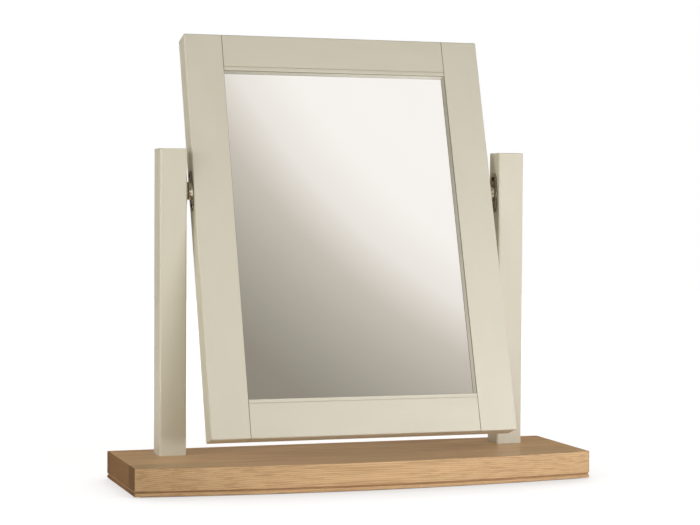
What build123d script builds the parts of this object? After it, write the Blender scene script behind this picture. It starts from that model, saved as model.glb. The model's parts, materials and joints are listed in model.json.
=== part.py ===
from build123d import *

import os
from math import ceil, sqrt

# Dressing-table swing mirror.
# An oak base board with a bowed front carries two painted posts. A painted frame with a mirror glass
# hangs between the posts on a pair of friction swivels, and stands tilted back.
# Millimetres. +Z is up, the front faces -Y and left is -X. The origin is on the table, midway across
# the base and midway between its back edge and the crown of the bowed front.

# Base board: a core with a lipping along its back and a deeper, bowed one along its front
BASE_END_D = 175.0
BASE_BOW = 25.0
BASE_T = 36.0
BASE_OVERHANG = 55.0
BASE_CORNER_R = 2.2
BASE_TOP_EASE = 1.2
FRONT_LIPPING_D = 32.0
BACK_LIPPING_D = 24.0
BEAD_H = 5.0
GROOVE_H = 2.2
GROOVE_DEPTH = 1.5
FELT_T = 1.5
FELT_INSET = 9.0

# Posts, set back to the middle of their depth from the base's back edge
POST_W = 36.0
POST_D = 36.0
POST_H = 400.0
POST_SETBACK = 53.0
POST_EDGE_R = 3.0
POST_TOP_EASE = 1.2

# Mirror frame, hung on an axis below the post tops so that it clears the base as it turns over
PIVOT_DROP = 55.0
SWING_CLEARANCE = 12.0
TILT = 17.0
FRAME_W = 418.0
FRAME_T = 30.0
FRAME_UP = 215.0
FRAME_EDGE_R = 2.0
STILE_W = 52.0
RAIL_W = 51.0
JOINT_V = 0.6
INNER_EASE = 1.5
SCRATCH_SET = 5.0
SCRATCH_W = 1.0
SCRATCH_DEPTH = 0.8

# Behind the frame's front lip: glass, then retaining strips, then the back board flush with the frame
GLASS_SETBACK = 7.5
GLASS_T = 4.0
GLASS_PLAY = 1.0
REBATE_W = 9.0
BOARD_T = 4.0
BOARD_PLAY = 0.5
STRIP_PLAY = 0.5

# Stub tenons on the rails, in blind mortises in the stiles
TENON_T = 10.0
TENON_REACH = 35.0
TENON_OUTER_SHOULDER = 6.0
TENON_INNER_SHOULDER = 3.0
GLUE_GAP = 0.1
MORTISE_END_GAP = 1.0

# Swivels: a pressed, cupped plate on the frame turns on a pin riveted to a flat plate on the post
FRAME_PLATE_T = 1.6
FRAME_PLATE_HUB_R = 10.0
FRAME_PLATE_NECK = 4.7
FRAME_PLATE_RIM = 3.2
CUP_R = 12.5
CUP_DRAFT = 1.0
CUP_EDGE_R = 1.2
POST_PLATE_T = 2.0
POST_PLATE_HUB_R = 12.0
POST_PLATE_NECK = 4.7
POST_PLATE_RIM = 5.0
PIN_R = 3.0
PIN_HEAD_R = 5.5
PIN_HEAD_T = 1.6
PIN_HEAD_GAP = 0.4
PIN_FIT = 0.05
RIVET_FLARE = 1.0
FRICTION_WASHER_R = 11.0
FRICTION_WASHER_T = 1.9
SPRING_WASHER_INSET = 1.9
SPRING_WASHER_T = 0.8
SPRING_WASHER_RISE = 2.4
SWIVEL_PLAY = 0.1

# Screws and dowels, each with the clearance of its hole
PLATE_SCREW_R = 1.75
PLATE_SCREW_HEAD_R = 3.3
PLATE_SCREW_L = 20.0
BOARD_SCREW_R = 1.5
BOARD_SCREW_HEAD_R = 3.0
BOARD_SCREW_L = 14.0
BOARD_SCREW_RIM = 1.5
BOARD_SCREW_PITCH = 175.0
POST_SCREW_R = 2.5
POST_SCREW_HEAD_R = 5.0
POST_SCREW_L = 85.0
POST_SCREW_SINK = 1.5
HEAD_CROWN = 0.7
RECESS_W = 0.9
RECESS_DEPTH = 1.3
PILOT_FIT = 0.05
HOLE_FIT = 0.25
HEAD_FIT = 0.1
DOWEL_R = 4.0
DOWEL_L = 40.0
DOWEL_COVER = 3.0
DOWEL_FIT = 0.05
DOWEL_END_GAP = 1.0
DOWEL_CHAMFER = 0.8

# Swivel sizes that follow from the ones above, outwards from the frame's side to the post
CUP_ROOM = PIN_HEAD_GAP + PIN_HEAD_T + SPRING_WASHER_RISE
CUP_H = CUP_ROOM + FRAME_PLATE_T
SWIVEL_GAP = CUP_H + SWIVEL_PLAY + FRICTION_WASHER_T + POST_PLATE_T
FRAME_SCREW_X = CUP_R + FRAME_PLATE_NECK + PLATE_SCREW_HEAD_R
POST_SCREW_X = FRICTION_WASHER_R + POST_PLATE_NECK + PLATE_SCREW_HEAD_R

# Places on the stand
POST_X = FRAME_W / 2 + SWIVEL_GAP + POST_W / 2
BASE_HALF_W = POST_X + POST_W / 2 + BASE_OVERHANG
BASE_D = BASE_END_D + BASE_BOW
BASE_TOP = FELT_T + BASE_T
BACK_Y = BASE_D / 2
BOW_R = (BASE_HALF_W**2 + BASE_BOW**2) / (2 * BASE_BOW)
BEAD_R = min(0.4 * BEAD_H, 0.9 * BASE_CORNER_R)
POST_Y = BACK_Y - POST_SETBACK
DOWEL_OFFSET = POST_D / 2 - DOWEL_COVER - DOWEL_R
PIVOT = Pos(0, POST_Y, BASE_TOP + POST_H - PIVOT_DROP)
TILTED = PIVOT * Rot(-TILT, 0, 0)

# Places in the frame's own upright coordinates, with the swivels' axis at their origin
FRAME_DOWN = POST_H - PIVOT_DROP - SWING_CLEARANCE
OPENING_X = FRAME_W / 2 - STILE_W
BOARD_REBATE_W = REBATE_W + 2 * (BOARD_SCREW_HEAD_R + BOARD_SCREW_RIM)
BACK = FRAME_T / 2
GLASS_Y = GLASS_SETBACK - BACK
STRIP_Y = GLASS_Y + GLASS_T
BOARD_Y = BACK - BOARD_T
FRAME_SIDE = Plane(origin=(FRAME_W / 2, 0, 0), x_dir=(0, 0, 1), z_dir=(1, 0, 0)).location
RAISED = (Align.CENTER, Align.CENTER, Align.MIN)
SUNK = (Align.CENTER, Align.CENTER, Align.MAX)
ENDS = (-1, 1)


def block(x, y, z):
    """A box between the low and the high value given for each axis."""
    size = [high - low for low, high in (x, y, z)]
    return Pos(x[0], y[0], z[0]) * Box(*size, align=Align.MIN)


def on_both_sides(pieces):
    """Right-hand pieces and their mirror images, each named for its side."""
    named = {f"{name}_right": shape for name, shape in pieces.items()}
    return named | {f"{name}_left": mirror(shape, about=Plane.YZ) for name, shape in pieces.items()}


def with_mirror_image(shape):
    """A right-hand cutting tool or tongue, and its mirror image."""
    return [shape, mirror(shape, about=Plane.YZ)]


def slab(inset, low, high):
    """The base board's outline, drawn in by inset, between two heights."""
    radius = BOW_R - inset
    half = BASE_HALF_W - inset
    back = BACK_Y - inset
    crown = inset - BASE_D / 2
    corner = crown + radius - sqrt(radius**2 - half**2)
    sides = Polyline((-half, corner), (-half, back), (half, back), (half, corner))
    bow = ThreePointArc((half, corner), (0, crown), (-half, corner))
    return Pos(0, 0, low) * extrude(make_face(sides + bow), high - low)


def rounded_slab(low, high, edge_r, both):
    """A full-size slab with rounded corners, and its top edge, or both edges, rounded too."""
    board = slab(0, low, high)
    board = fillet(board.edges().filter_by(Axis.Z), BASE_CORNER_R)
    faces = board.faces().filter_by(Axis.Z).sort_by(Axis.Z)
    chosen = faces if both else faces[-1:]
    return fillet(chosen.edges(), edge_r)


def screw(shank_r, head_r, length):
    """A crosshead wood screw pointing down, with the rim of its crowned, countersunk head at height 0."""
    neck = (shank_r, shank_r - head_r)
    point = (shank_r, 2 * shank_r - length)
    side = Polyline((head_r, 0), neck, point, (0, -length), (0, HEAD_CROWN))
    crown = TangentArc((0, HEAD_CROWN), (head_r, 0), tangent=(1, 0))
    body = revolve(Plane.XZ * make_face(side + crown), Axis.Z)
    for turn in (0, 90):
        slot = Box(1.2 * head_r, RECESS_W, RECESS_DEPTH, align=SUNK)
        body -= Pos(0, 0, HEAD_CROWN) * Rot(0, 0, turn) * slot
    return body


def screw_hole(shank_r, head_r, depth):
    """The countersunk clearance hole that such a screw needs through a piece of this depth."""
    cone = Cone(shank_r, head_r + HEAD_FIT, head_r - shank_r + HEAD_FIT, align=SUNK)
    return cone + Cylinder(shank_r + HOLE_FIT, depth, align=SUNK)


def pilot_hole(shank_r, depth):
    """The hole in the wood that such a screw is driven into, going down from height 0."""
    return Cylinder(shank_r + PILOT_FIT, depth + shank_r, align=SUNK)


def dowel_bores():
    """The bores for the right post's dowels, half in the base and half in the post."""
    bore = Cylinder(DOWEL_R + DOWEL_FIT, DOWEL_L + 2 * DOWEL_END_GAP)
    return [Pos(POST_X, POST_Y + s * DOWEL_OFFSET, BASE_TOP) * bore for s in ENDS]


def under_post():
    """Where the rim of the right post's screw head lies, looking up from below."""
    return Pos(POST_X, POST_Y, FELT_T + POST_SCREW_SINK) * Rot(180, 0, 0)


def base():
    """The base's three boards, with one routed groove and bead around them all, and the felt below."""
    bead_top = FELT_T + BEAD_H
    groove_top = bead_top + GROOVE_H
    ease = min(BASE_TOP_EASE, 0.9 * BASE_CORNER_R)
    blank = rounded_slab(groove_top, BASE_TOP, ease, both=False)
    blank += slab(GROOVE_DEPTH, bead_top, groove_top)
    blank += rounded_slab(FELT_T, bead_top, BEAD_R, both=True)

    front_joint = BACK_Y - BASE_END_D + FRONT_LIPPING_D
    back_joint = BACK_Y - BACK_LIPPING_D
    across = (-2 * BASE_HALF_W, 2 * BASE_HALF_W)
    up = (0, 2 * BASE_TOP)
    core = blank & block(across, (front_joint, back_joint), up)
    hole = screw_hole(POST_SCREW_R, POST_SCREW_HEAD_R, BASE_T)
    hole += Cylinder(POST_SCREW_HEAD_R + HEAD_FIT, POST_SCREW_SINK, align=RAISED)
    for tool in [under_post() * hole] + dowel_bores():
        core -= with_mirror_image(tool)
    return {
        "base_core": core,
        "base_front_lipping": blank & block(across, (-BASE_D, front_joint), up),
        "base_back_lipping": blank & block(across, (back_joint, BASE_D), up),
        "base_felt": slab(FELT_INSET, 0, FELT_T),
    }


def post():
    """The right post, bored for its dowels, for the screw from below and for its swivel plate."""
    across = (POST_X - POST_W / 2, POST_X + POST_W / 2)
    deep = (POST_Y - POST_D / 2, POST_Y + POST_D / 2)
    bar = block(across, deep, (BASE_TOP, BASE_TOP + POST_H))
    bar = fillet(bar.edges().filter_by(Axis.Z), POST_EDGE_R)
    bar = fillet(bar.faces().sort_by(Axis.Z)[-1].edges(), min(POST_TOP_EASE, 0.9 * POST_EDGE_R))
    bar -= dowel_bores()
    bar -= under_post() * pilot_hole(POST_SCREW_R, POST_SCREW_L)
    for s in ENDS:
        place = PIVOT * FRAME_SIDE * Pos(s * POST_SCREW_X, 0, SWIVEL_GAP) * Rot(180, 0, 0)
        bar -= place * pilot_hole(PLATE_SCREW_R, PLATE_SCREW_L - POST_PLATE_T)
    return bar


def post_dowels():
    """The two dowels between the right post and the base."""
    dowel = Cylinder(DOWEL_R, DOWEL_L)
    dowel = chamfer(dowel.edges().filter_by(GeomType.CIRCLE), DOWEL_CHAMFER)
    return Part() + [Pos(POST_X, POST_Y + s * DOWEL_OFFSET, BASE_TOP) * dowel for s in ENDS]


def from_end(end, near, far):
    """Heights in the frame, given as distances inwards from its top or bottom edge."""
    if end == "top":
        return (FRAME_UP - far, FRAME_UP - near)
    return (near - FRAME_DOWN, far - FRAME_DOWN)


def tenon(end, gap=0.0, end_gap=0.0):
    """The right-hand tenon of a rail or, with gaps around it, its mortise."""
    near = TENON_OUTER_SHOULDER - gap
    far = RAIL_W - REBATE_W - TENON_INNER_SHOULDER + gap
    half = TENON_T / 2 + gap
    return block((OPENING_X, OPENING_X + TENON_REACH + end_gap), (-half, half), from_end(end, near, far))


def stile():
    """The right stile: rebated along its whole length, mortised at both ends, bored for the swivel."""
    bar = block((OPENING_X, FRAME_W / 2), (-BACK, BACK), (-FRAME_DOWN, FRAME_UP))
    inner_face = bar.faces().sort_by(Axis.X)[0]
    bar = fillet(bar.edges() - inner_face.edges(), FRAME_EDGE_R)
    inner_edges = bar.edges().filter_by(Axis.Z).filter_by_position(Axis.X, OPENING_X, OPENING_X)
    bar = chamfer(inner_edges.sort_by(Axis.Y)[0], JOINT_V)
    whole = (-2 * FRAME_DOWN, 2 * FRAME_UP)
    bar -= block((0, OPENING_X + REBATE_W), (GLASS_Y, FRAME_T), whole)
    bar -= block((0, OPENING_X + BOARD_REBATE_W), (BOARD_Y, FRAME_T), whole)
    for end in ("top", "bottom"):
        bar -= tenon(end, GLUE_GAP, MORTISE_END_GAP)
    pilot = pilot_hole(PLATE_SCREW_R, PLATE_SCREW_L - FRAME_PLATE_T)
    bar -= [FRAME_SIDE * Pos(s * FRAME_SCREW_X, 0, 0) * pilot for s in ENDS]
    bar -= [place * pilot_hole(BOARD_SCREW_R, BOARD_SCREW_L) for place in board_screw_places()]
    return bar


def rail(end):
    """A rail with long and short shoulders, which fill the stiles' rebates, and a tenon at each end."""
    x = OPENING_X
    bar = block((-x, x), (-BACK, GLASS_Y), from_end(end, 0, RAIL_W))
    front = bar.edges().filter_by_position(Axis.Y, -BACK, -BACK)
    bar = chamfer(front.filter_by(Axis.Z), JOINT_V)
    front = bar.edges().filter_by_position(Axis.Y, -BACK, -BACK).filter_by(Axis.X).sort_by(Axis.Z)
    bar = fillet(front[0] if end == "top" else front[-1], INNER_EASE)
    scratch = from_end(end, RAIL_W - SCRATCH_SET - SCRATCH_W, RAIL_W - SCRATCH_SET)
    bar -= block((-FRAME_W, FRAME_W), (-FRAME_T, SCRATCH_DEPTH - BACK), scratch)
    x = OPENING_X + REBATE_W
    bar += block((-x, x), (GLASS_Y, BOARD_Y), from_end(end, 0, RAIL_W - REBATE_W))
    x = OPENING_X + BOARD_REBATE_W
    bar += block((-x, x), (BOARD_Y, BACK), from_end(end, 0, RAIL_W - BOARD_REBATE_W))
    height = from_end(end, 0, 0)[0]
    outer = bar.edges().filter_by(Axis.X).filter_by_position(Axis.Z, height, height).sort_by(Axis.Y)
    bar = fillet([outer[0], outer[-1]], FRAME_EDGE_R)
    bar += with_mirror_image(tenon(end))
    bar -= [place * pilot_hole(BOARD_SCREW_R, BOARD_SCREW_L) for place in board_screw_places()]
    return bar


def inside(margin):
    """The spans across and up the frame that lie this far outside the visible opening."""
    reach = OPENING_X + margin
    return (-reach, reach), (RAIL_W - FRAME_DOWN - margin, FRAME_UP - RAIL_W + margin)


def spread(span, pitch):
    """Places evenly spread along a span, at most a pitch apart and half a step in from its ends."""
    count = ceil((span[1] - span[0]) / pitch)
    return [span[0] + (span[1] - span[0]) * (i + 0.5) / count for i in range(count)]


def board_screw_places():
    """Where the back board's screws go, around the ledge between the two rebates."""
    across, up = inside((REBATE_W + BOARD_REBATE_W) / 2)
    spots = [(x, z) for x in across for z in spread(up, BOARD_SCREW_PITCH)]
    spots += [(x, z) for x in spread(across, BOARD_SCREW_PITCH) for z in up]
    return [Pos(x, BACK, z) * Rot(-90, 0, 0) for x, z in spots]


def glazing():
    """The glass, the four strips that hold it, and the screwed back board."""
    across, up = inside(REBATE_W - GLASS_PLAY)
    glass = block(across, (GLASS_Y, STRIP_Y), up)
    depth = (STRIP_Y, BOARD_Y)
    (left, right), (low, high) = inside(REBATE_W - STRIP_PLAY)
    (in_left, in_right), (in_low, in_high) = inside(STRIP_PLAY)
    across, up = inside(BOARD_REBATE_W - BOARD_PLAY)
    board = block(across, (BOARD_Y, BACK), up)
    places = board_screw_places()
    board -= [place * screw_hole(BOARD_SCREW_R, BOARD_SCREW_HEAD_R, BOARD_T) for place in places]
    one = screw(BOARD_SCREW_R, BOARD_SCREW_HEAD_R, BOARD_SCREW_L)
    return {
        "mirror_glass": glass,
        "retaining_strip_left": block((left, in_left), depth, (low, high)),
        "retaining_strip_right": block((in_right, right), depth, (low, high)),
        "retaining_strip_bottom": block((in_left, in_right), depth, (low, in_low)),
        "retaining_strip_top": block((in_left, in_right), depth, (in_high, high)),
        "back_board": board,
        "back_board_screws": Part() + [place * one for place in places],
    }


def plate_blank(hub_r, rim, screw_x, thickness):
    """A flat plate that tapers from a round hub to a rounded end over each of its two screws."""
    end_r = PLATE_SCREW_HEAD_R + rim
    rings = [Circle(hub_r).edge()] + [(Pos(s * screw_x, 0) * Circle(end_r)).edge() for s in ENDS]
    return extrude(make_hull(rings), thickness)


def frame_plate():
    """The swivel's plate on the frame's side: its pressed cup hides the pin's head and spring washer."""
    plate = plate_blank(FRAME_PLATE_HUB_R, FRAME_PLATE_RIM, FRAME_SCREW_X, FRAME_PLATE_T)
    cup = Cone(CUP_R, CUP_R - CUP_DRAFT, CUP_H, align=RAISED)
    plate += fillet(cup.edges().sort_by(Axis.Z)[-1], CUP_EDGE_R)
    room_r = CUP_R - FRAME_PLATE_T
    plate -= Cone(room_r, room_r - CUP_DRAFT, CUP_ROOM, align=RAISED)
    plate -= Cylinder(PIN_R + PIN_FIT, CUP_H, align=RAISED)
    hole = screw_hole(PLATE_SCREW_R, PLATE_SCREW_HEAD_R, FRAME_PLATE_T)
    return plate - [Pos(s * FRAME_SCREW_X, 0, FRAME_PLATE_T) * hole for s in ENDS]


def post_plate():
    """The swivel's flat plate on the post, facing down onto height 0."""
    plate = plate_blank(POST_PLATE_HUB_R, POST_PLATE_RIM, POST_SCREW_X, POST_PLATE_T)
    bore_r = PIN_R + PIN_FIT
    plate -= Cylinder(bore_r, POST_PLATE_T, align=RAISED)
    plate -= Pos(0, 0, POST_PLATE_T) * Cone(bore_r, bore_r + RIVET_FLARE, RIVET_FLARE, align=SUNK)
    hole = screw_hole(PLATE_SCREW_R, PLATE_SCREW_HEAD_R, POST_PLATE_T)
    return plate - [Pos(s * POST_SCREW_X, 0, 0) * Rot(180, 0, 0) * hole for s in ENDS]


def pin():
    """The pin, its head in the frame plate's cup and its other end riveted over in the post plate."""
    head_top = PIN_HEAD_GAP + PIN_HEAD_T
    body = Pos(0, 0, head_top) * Cylinder(PIN_HEAD_R, PIN_HEAD_T, align=SUNK)
    body += Pos(0, 0, head_top) * Cylinder(PIN_R, SWIVEL_GAP - head_top, align=RAISED)
    return body + Pos(0, 0, SWIVEL_GAP) * Cone(PIN_R, PIN_R + RIVET_FLARE, RIVET_FLARE, align=SUNK)


def spring_washer():
    """The dished washer between the pin's head and the inside of the cup, as pressed in use."""
    inner = PIN_R + 2 * PIN_FIT
    outer = CUP_R - FRAME_PLATE_T - CUP_DRAFT - SPRING_WASHER_INSET
    low = PIN_HEAD_GAP + PIN_HEAD_T + SWIVEL_PLAY / 2
    high = CUP_ROOM - SWIVEL_PLAY / 2
    rise = high - SPRING_WASHER_T
    dish = Polyline((inner, low), (outer, rise), (outer, high), (inner, low + SPRING_WASHER_T), close=True)
    return revolve(Plane.XZ * make_face(dish), Axis.Z)


def friction_washer():
    """The flat fibre washer that the cup turns against."""
    ring = Circle(FRICTION_WASHER_R) - Circle(PIN_R + PIN_FIT)
    return Pos(0, 0, CUP_H + SWIVEL_PLAY) * extrude(ring, FRICTION_WASHER_T)


def swivel():
    """The right swivel's pieces on the frame and on the stand, from the frame's side at height 0."""
    one = screw(PLATE_SCREW_R, PLATE_SCREW_HEAD_R, PLATE_SCREW_L)
    at_post = Pos(0, 0, SWIVEL_GAP - POST_PLATE_T)
    on_frame = [Pos(s * FRAME_SCREW_X, 0, FRAME_PLATE_T) * one for s in ENDS]
    on_post = [at_post * Pos(s * POST_SCREW_X, 0, 0) * Rot(180, 0, 0) * one for s in ENDS]
    frame_pieces = {
        "swivel_frame_plate": frame_plate(),
        "swivel_frame_screws": Part() + on_frame,
    }
    stand_pieces = {
        "swivel_post_plate": at_post * post_plate(),
        "swivel_post_screws": Part() + on_post,
        "swivel_pin": pin(),
        "swivel_spring_washer": spring_washer(),
        "swivel_friction_washer": friction_washer(),
    }
    return frame_pieces, stand_pieces


def assembly():
    """Every piece by name, in its place on the stand or in the tilted mirror."""
    frame_pieces, stand_pieces = swivel()
    right_mirror = {name: FRAME_SIDE * shape for name, shape in frame_pieces.items()} | {"stile": stile()}
    hung = glazing() | {f"rail_{end}": rail(end) for end in ("top", "bottom")} | on_both_sides(right_mirror)

    right_stand = {name: PIVOT * FRAME_SIDE * shape for name, shape in stand_pieces.items()}
    right_stand["post"] = post()
    right_stand["post_dowels"] = post_dowels()
    right_stand["post_screw"] = under_post() * screw(POST_SCREW_R, POST_SCREW_HEAD_R, POST_SCREW_L)
    return base() | on_both_sides(right_stand) | {name: TILTED * shape for name, shape in hung.items()}


os.makedirs("parts", exist_ok=True)
for node, shape in assembly().items():
    export_step(shape, f"parts/{node}.step")
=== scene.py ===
"""Dressing-table swing mirror, dressed and lit for a plain white studio.

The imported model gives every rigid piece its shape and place. This script gives each surface its finish,
makes the felt sheet under the base, and sets up the floor, the lamps and the camera. Everything is in
metres, with +Z up and the front of the mirror towards -Y.
"""

import json
import logging
import math
from collections.abc import Callable, Iterable
from dataclasses import dataclass, field
from enum import Enum

import bpy
from mathutils import Matrix, Vector


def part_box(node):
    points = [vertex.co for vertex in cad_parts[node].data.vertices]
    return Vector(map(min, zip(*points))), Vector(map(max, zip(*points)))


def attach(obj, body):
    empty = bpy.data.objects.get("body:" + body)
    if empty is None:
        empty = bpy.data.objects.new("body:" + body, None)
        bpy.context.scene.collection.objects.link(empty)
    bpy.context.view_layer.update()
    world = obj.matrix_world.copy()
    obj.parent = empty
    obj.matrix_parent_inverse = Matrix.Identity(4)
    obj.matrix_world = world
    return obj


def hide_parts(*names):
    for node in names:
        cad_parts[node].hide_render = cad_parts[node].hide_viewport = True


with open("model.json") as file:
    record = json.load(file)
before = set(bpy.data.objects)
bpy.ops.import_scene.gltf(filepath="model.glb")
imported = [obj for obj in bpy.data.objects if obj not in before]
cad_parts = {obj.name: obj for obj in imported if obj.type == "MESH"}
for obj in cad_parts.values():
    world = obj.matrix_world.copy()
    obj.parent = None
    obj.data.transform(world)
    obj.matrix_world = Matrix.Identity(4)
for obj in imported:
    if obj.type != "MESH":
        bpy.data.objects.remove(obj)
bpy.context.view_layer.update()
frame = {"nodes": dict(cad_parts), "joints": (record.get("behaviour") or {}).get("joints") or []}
log = logging.getLogger("swing_mirror")

MM = 0.001
Rgb = tuple[int, int, int]
Rgba = tuple[float, float, float, float]
Triple = tuple[float, float, float]
Span = tuple[float, float]
Socket = bpy.types.NodeSocket
Feed = float | int | tuple[float, ...] | Vector | Socket

ORIGIN: Triple = (0.0, 0.0, 0.0)
WHITE: Rgba = (1.0, 1.0, 1.0, 1.0)
MOST_NOISE: Span = (0.3, 0.7)  # the values that a noise pattern hardly leaves


class Way(Enum):
    """The direction that a board's grain runs in, in the board's own upright coordinates."""

    ACROSS = (0.0, 0.0, 0.0)
    UP = (0.0, math.radians(-90), 0.0)


class Side(Enum):
    """The two sides of the object, with the sign of their X."""

    LEFT = -1
    RIGHT = 1


class Metal(Enum):
    """The metals, each with its dark tone, its rubbed tone and its roughness."""

    ANTIQUE_BRASS = ((138, 124, 97), (224, 213, 188), 0.28)
    BRONZED_SCREW = ((48, 38, 27), (112, 94, 66), 0.28)
    BRONZED_BOARD_SCREW = ((62, 50, 36), (128, 108, 78), 0.38)
    ZINC = ((150, 150, 152), (190, 190, 192), 0.4)
    SPRING_STEEL = ((110, 110, 112), (170, 170, 172), 0.28)


class Pressed(Enum):
    """What is pressed out of fibres, each with its threads per metre, its dark tone and its light tone."""

    BLACK_FELT = (900.0, (24, 23, 23), (62, 60, 58))
    WASHER_FIBRE = (1800.0, (66, 61, 51), (110, 102, 84))


@dataclass(frozen=True)
class Pattern:
    """A noise pattern: its waves per metre along each axis, its octaves of detail, and the values it is eased over."""

    waves: Triple
    detail: float = 2.0
    span: Span = MOST_NOISE

    @classmethod
    def even(cls, waves: float, detail: float = 2.0, span: Span = MOST_NOISE) -> "Pattern":
        """Give a pattern that varies as much along every axis."""
        return cls((waves, waves, waves), detail, span)


@dataclass(frozen=True)
class Coat:
    """A tone that shows through a mask, and the greatest share of it that shows."""

    tone: Rgb
    most: float = 1.0


RING_WANDER = Pattern((1.4, 8.0, 8.0), 3.0)
RING_WAVER = Pattern((3.0, 60.0, 60.0))
PORES = Pattern((32.0, 2300.0, 2300.0), span=(0.56, 0.68))
FIBRES = Pattern((9.0, 420.0, 420.0), 4.0)
GROWN_TONE = Pattern((2.5, 26.0, 26.0))
EDGE_CHIPS = Pattern.even(90.0, 4.0, (0.35, 0.7))
PAINT_TONE = Pattern((6.0, 30.0, 30.0), 3.0)
STROKES = Pattern((7.0, 900.0, 900.0), 3.0)
ORANGE_PEEL = Pattern.even(420.0, 1.0)
PAINTED_GRAIN = Pattern((22.0, 1500.0, 1500.0))
SPECKS = Pattern.even(1300.0, 1.0, (0.70, 0.78))
SMEARS = Pattern.even(14.0, 5.0, (0.45, 0.75))
PATINA = Pattern.even(420.0, 4.0, (0.40, 0.60))
SCRATCHES = Pattern((900.0, 5200.0, 2600.0))
STIPPLE = Pattern.even(700.0)
BOARD_TONE = Pattern.even(9.0, 4.0)
TUFTS = Pattern.even(120.0, 3.0)

PITH_SHIFT = 30 * MM  # how far the rings wander from a true circle
RING_WAVER_DEPTH = 1.6  # how far they waver along the board, in rings
LATE_WOOD: Span = (0.35, 1.0)  # where a ring darkens, from its middle to its edge
EARLY_PORES = 0.3  # the share of the pores that lies between the rings' dark parts
FIBRE_RISE, RING_FALL = 0.35, 0.25  # heights beside the depth of a pore
STROKE_RISE, PEEL_RISE, GRAIN_RISE = 0.5, 0.35, 0.3  # what a film of paint's relief is made of
SMEAR_SHARE, SPECK_SHARE = 0.6, 0.4
DUST_DULLNESS = 0.08  # what dust adds to the roughness


def srgb(tone: Rgb) -> Rgba:
    """Turn a colour as a screen shows it into the linear light that Blender works in.

    Args:
        tone: Its red, green and blue, from 0 to 255.

    Returns:
        The linear colour, with an alpha of 1.
    """
    shares = (channel / 255 for channel in tone)
    linear = (s / 12.92 if s <= 0.04045 else ((s + 0.055) / 1.055) ** 2.4 for s in shares)
    return (*linear, 1.0)


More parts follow.
